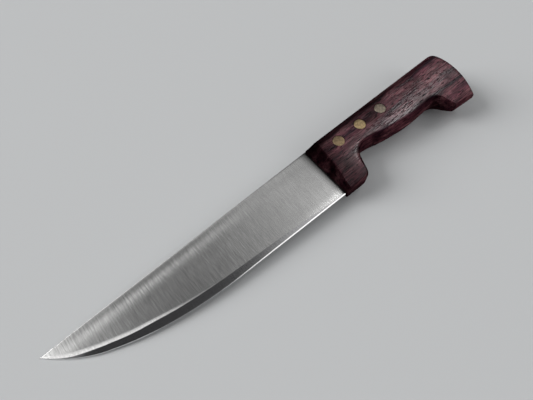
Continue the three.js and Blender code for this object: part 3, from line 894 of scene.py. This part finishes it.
def prism(name, outline_points, low, high):
    """A block with the given side view. The heights are lists, one for each corner, or single values."""
    count = len(outline_points)
    low, high = (np.broadcast_to(h, count) for h in (low, high))
    base = [(x, down, z) for (x, down), z in zip(outline_points, low)]
    roof = [(x, down, z) for (x, down), z in zip(outline_points, high)]
    faces = [tuple(range(count)), tuple(range(2 * count - 1, count - 1, -1))]
    for i in range(count):
        j = (i + 1) % count
        faces.append((i, count + i, count + j, j))
    return new_object(name, row_points(base + roof), faces)


def rebate_outline():
    """Side view of the rebate: the tang's outline with room round it, open at the spine."""
    turn = np.linspace(0, math.pi / 2, CORNER_POINTS)
    rear_corner = TANG_END - TANG_END_RADIUS * (1 - np.sin(turn))
    lower = [(x + FIT_GAP, tang_bottom(x) + FIT_GAP) for x in rear_corner]
    front = TANG_START - FIT_GAP
    lower = [(front, tang_bottom(front) + FIT_GAP)] + lower
    return [(front, -CUT_OVERRUN), (TANG_END + FIT_GAP, -CUT_OVERRUN)] + lower[::-1]


def scale_cutters(side):
    """Slot for the heel, rebate for the tang and stepped holes for the rivets of one scale."""
    slot_front, slot_back = LUG_TOE[0] - SLOT_OVERRUN, BLADE_LENGTH + HEEL_INSET + FIT_GAP
    slot_bottom = BLADE_HEIGHT + FIT_GAP
    corners = [(slot_front, -CUT_OVERRUN), (slot_back, -CUT_OVERRUN), (slot_back, slot_bottom),
               (slot_front, slot_bottom)]
    slot_top = [half_thickness(x, down) + GLUE_GAP for x, down in corners]
    cutters = []
    for outline_points, top in ((corners, np.array(slot_top)), (rebate_outline(), TANG_HALF + GLUE_GAP)):
        low, high = (-CUT_OVERRUN, top) if side > 0 else (-top, CUT_OVERRUN)
        cutters.append(prism("rebate", outline_points, low, high))
    body, head = SLEEVE_RADIUS + HOLE_GAP, HEAD_RADIUS + HOLE_GAP
    seat = HANDLE_HALF - HEAD_LENGTH - HOLE_GAP
    mouth = head + HOLE_MOUTH_EASING
    outside = HANDLE_HALF + CUT_OVERRUN
    steps = [(0, -CUT_OVERRUN), (body, -CUT_OVERRUN), (body, seat), (head, seat),
             (head, HANDLE_HALF - HOLE_MOUTH_EASING), (mouth, HANDLE_HALF), (mouth, outside), (0, outside)]
    profile = [(r, HANDLE_HALF + side * z) for r, z in steps]
    if side < 0:
        profile = profile[::-1]
    return cutters + [turned("rivet_hole", profile, rivet_centre(place)) for place in RIVETS]


# Patterns of the wood: waves per metre along and across the grain, detail and unevenness
LAYERS = (16, 230, 3.0, 0.6)
STREAKS = (110, 1300, 3.0, 0.6)
FIBRES = (160, 950, 2.0, 0.5)
PORES = (210, 1500, 2.0, 0.5)
BLOTCHES = (45, 95, 3.0, 0.6)
WOOD_CUT_M = (1.37, 0.06, 0.09)
WAVES_PER_M = 16.0
WAVE_DETAIL = 2.0
WAVE_MIDDLE = (0.5, 0.5, 0.5)
WAVE_REACH_M = (0, 0.006, 0.006)

# Woods: their place among the layers and their colour. Tones: a pattern's range and what it is brought to
DARK_WOOD = (0.33, (0.0175, 0.0054, 0.011, 1))
RED_WOOD = (0.5, (0.088, 0.027, 0.0365, 1))
LIGHT_WOOD = (0.7, (0.205, 0.088, 0.098, 1))
PORE_COLOUR = (0.006, 0.002, 0.004, 1)
PORE_RANGE = (0.55, 0.66)
STREAK_TONES = (0.3, 0.7, 0.25, 1.7)
BLOTCH_TONES = (0.4, 0.64, 1.12, 0.48)
END_GRAIN_RANGE = (0.15, 0.36)
END_GRAIN_TONE = 0.32

# Stretches with a tone of their own: front, rear, and a dark figure between two of the rivets. The band
# below the spine is darkened with painted shade.
SPINE_SHADE = (9.8, 4.5)
SPINE_SHADE_TONE = 0.25
FRONT_SHADE = (204, 224)
FRONT_TONE = 0.4
REAR_SHADE = (296, 320)
REAR_TONE = 1.35
FIGURE_FROM_TIP = 253
FIGURE_BELOW_SPINE = 12.5
FIGURE_LENGTH = 20
FIGURE_HEIGHT = 7.5
FIGURE_CORE = 0.35
FIGURE_TONE = 0.45

# Oiled sheen: strongest on the flat sides, weaker in pores and towards the butt
SHEEN = 0.85
SHEEN_FACING = (0.75, 0.97)
SHEEN_ROUGHNESS = 0.2
PORE_SHEEN = 0.4
REAR_SHEEN = 0.75
REAR_SHEEN_RUN = (278, 292)
WOOD_ROUGHNESS = 0.6
WOOD_GLOSS = 0
PORE_HEIGHT = -0.3
GRAIN_DEPTH_M = 0.00013

figure_centre = (tip_x + FIGURE_FROM_TIP * MM, spine_y - FIGURE_BELOW_SPINE * MM, 0)
figure_shrink = (1 / (FIGURE_LENGTH * MM), 1 / (FIGURE_HEIGHT * MM), 0)


def rosewood():
    """Dark red-brown wood with long streaks, pores and a low oiled sheen. End grain is darker."""
    material, tree, shader = new_material("oiled_rosewood")

    def vector(operation, first, second):
        return add_node(tree, "ShaderNodeVectorMath", {0: first, 1: second}, operation=operation).outputs[0]

    coordinates = add_node(tree, "ShaderNodeTexCoord")
    place = coordinates.outputs["Object"]
    sockets = {"Vector": vector("ADD", place, WOOD_CUT_M), "Scale": WAVES_PER_M, "Detail": WAVE_DETAIL}
    waves = add_node(tree, "ShaderNodeTexNoise", sockets).outputs["Color"]
    bend = vector("MULTIPLY", vector("SUBTRACT", waves, WAVE_MIDDLE), WAVE_REACH_M)
    grain = vector("ADD", place, bend)
    in_log = vector("ADD", grain, WOOD_CUT_M)

    def pattern(along, across, detail, unevenness):
        stretched = vector("MULTIPLY", in_log, (along, across, across))
        sockets = {"Vector": stretched, "Scale": 1.0, "Detail": detail, "Roughness": unevenness}
        return add_node(tree, "ShaderNodeTexNoise", sockets).outputs["Fac"]

    def tinted(colour, tones):
        for tone in tones:
            colour = mixed_colour(tree, 1.0, colour, tone, "MULTIPLY")
        return colour

    facing = add_node(tree, "ShaderNodeSeparateXYZ", {0: coordinates.outputs["Normal"]}).outputs
    end_on, sideways = (add_node(tree, "ShaderNodeMath", {0: facing[axis]}, operation="ABSOLUTE").outputs[0]
                        for axis in ("X", "Z"))
    end_grain = spread(tree, end_on, *END_GRAIN_RANGE)
    pores = spread(tree, pattern(*PORES), *PORE_RANGE)
    along, across = add_node(tree, "ShaderNodeSeparateXYZ", {0: grain}).outputs[:2]
    # Painted shade: the band below the spine is darkened, and its sheen weakened.
    shade_low, shade_high = (spine_y - down * MM for down in SPINE_SHADE)
    painted_spine_shade = spread(tree, across, shade_low, shade_high, 1, SPINE_SHADE_TONE, "SMOOTHSTEP")
    front_tone = tone_along(tree, along, FRONT_SHADE, FRONT_TONE, 1)
    rear_tone = tone_along(tree, along, REAR_SHADE, 1, REAR_TONE)
    end_tone = spread(tree, end_grain, 0, 1, 1, END_GRAIN_TONE)
    from_figure = vector("MULTIPLY", vector("SUBTRACT", grain, figure_centre), figure_shrink)
    distance = add_node(tree, "ShaderNodeVectorMath", {0: from_figure}, operation="LENGTH").outputs["Value"]
    figure_tone = spread(tree, distance, FIGURE_CORE, 1, FIGURE_TONE, 1, "SMOOTHSTEP")

    ramp = add_node(tree, "ShaderNodeValToRGB", {"Fac": pattern(*LAYERS)})
    stops = ramp.color_ramp.elements
    stops[0].position, stops[0].color = DARK_WOOD
    stops[1].position, stops[1].color = LIGHT_WOOD
    stops.new(RED_WOOD[0]).color = RED_WOOD[1]
    streak_tone = spread(tree, pattern(*STREAKS), *STREAK_TONES)
    blotch_tone = spread(tree, pattern(*BLOTCHES), *BLOTCH_TONES)
    colour = tinted(ramp.outputs["Color"], (streak_tone, blotch_tone))
    colour = mixed_colour(tree, pores, colour, PORE_COLOUR)
    colour = tinted(colour, (figure_tone, painted_spine_shade, front_tone, end_tone, rear_tone))
    tree.links.new(colour, shader.inputs["Base Color"])

    sheen = spread(tree, sideways, *SHEEN_FACING, 0, SHEEN)
    off_end_grain = spread(tree, end_grain, 0, 1, 1, 0)
    pore_sheen = spread(tree, pores, 0, 1, 1, PORE_SHEEN)
    rear_sheen = tone_along(tree, along, REAR_SHEEN_RUN, 1, REAR_SHEEN)
    for share in (off_end_grain, pore_sheen, painted_spine_shade, front_tone, figure_tone, rear_sheen):
        sheen = add_node(tree, "ShaderNodeMath", {0: sheen, 1: share}, operation="MULTIPLY").outputs[0]
    tree.links.new(sheen, shader.inputs["Coat Weight"])
    shader.inputs["Coat Roughness"].default_value = SHEEN_ROUGHNESS
    shader.inputs["Roughness"].default_value = WOOD_ROUGHNESS
    shader.inputs["Specular IOR Level"].default_value = WOOD_GLOSS

    sockets = {0: pores, 1: PORE_HEIGHT, 2: pattern(*FIBRES)}
    height = add_node(tree, "ShaderNodeMath", sockets, operation="MULTIPLY_ADD").outputs[0]
    bump = add_node(tree, "ShaderNodeBump", {"Height": height, "Strength": 1.0, "Distance": GRAIN_DEPTH_M})
    for socket in ("Normal", "Coat Normal"):
        tree.links.new(bump.outputs[0], shader.inputs[socket])
    return material


wood = rosewood()
for name, side in (("left_scale", 1), ("right_scale", -1)):
    scale = scale_blank(name + "_wood", side)
    scale.data.materials.append(wood)
    cut(scale, scale_cutters(side))
    smooth_shading(scale, HANDLE_SHARP_DEG)
    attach(scale, "root")
    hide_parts(name)


# Rivets: brass cutler's rivets in two halves, a solid post pressed into a tubular sleeve through both scales
# and the tang. The heads are ground flush with the wood and have dulled.
HEAD_EASING = 0.3
HEAD_EASING_POINTS = 6
HEAD_DOME = 0.06
DOME_STEP = 0.5
POST_RADIUS = 1.95
POST_END = 5
SLEEVE_TOP = 15
SLEEVE_BORE = 2
SLEEVE_FLOOR = 4
RIVET_BRUSH_DEG = 40
shank_top = HANDLE_THICKNESS - HEAD_LENGTH


def head_profile(face, inwards):
    """Radius and height from the middle of a head's face to its rim: slightly domed, with an eased edge."""
    steps = [(0, 0), (HEAD_RADIUS * DOME_STEP, HEAD_DOME * DOME_STEP**2)]
    for angle in np.linspace(0, math.pi / 2, HEAD_EASING_POINTS):
        radius = HEAD_RADIUS - HEAD_EASING * (1 - math.sin(angle))
        steps.append((radius, HEAD_DOME + HEAD_EASING * (1 - math.cos(angle))))
    return [(r, face + inwards * z) for r, z in steps]


# Brass: two colours for each rivet, then range of roughness, scratch spacing, anisotropy and smudges
RIVET_TONES = {
    "front": ((0.18, 0.13, 0.076, 1), (0.36, 0.265, 0.16, 1)),
    "middle": ((0.255, 0.187, 0.1, 1), (0.52, 0.39, 0.215, 1)),
    "rear": ((0.165, 0.138, 0.108, 1), (0.315, 0.268, 0.21, 1)),
}
BRASS_FINISH = ((0.36, 0.5), 0.35, 0.3, 1.6, 0.25)

post_profile = [(0, POST_END), (POST_RADIUS, POST_END), (POST_RADIUS, shank_top), (HEAD_RADIUS, shank_top)]
post_profile += head_profile(HANDLE_THICKNESS, -1)[::-1]
sleeve_profile = head_profile(0, 1) + [(HEAD_RADIUS, HEAD_LENGTH), (SLEEVE_RADIUS, HEAD_LENGTH)]
sleeve_profile += [(SLEEVE_RADIUS, SLEEVE_TOP), (SLEEVE_BORE, SLEEVE_TOP), (SLEEVE_BORE, SLEEVE_FLOOR),
                   (0, SLEEVE_FLOOR)]
for place in RIVETS:
    brass = brushed_metal(place + "_brass", RIVET_BRUSH_DEG, *RIVET_TONES[place], *BRASS_FINISH)
    for half, profile in (("post", post_profile), ("sleeve", sleeve_profile)):
        node = f"{place}_rivet_{half}"
        rivet = turned(node + "_brass", profile, rivet_centre(place))
        rivet.data.materials.append(brass)
        smooth_shading(rivet, HANDLE_SHARP_DEG)
        brush_map(rivet, RIVET_BRUSH_DEG)
        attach(rivet, "root")
        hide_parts(node)
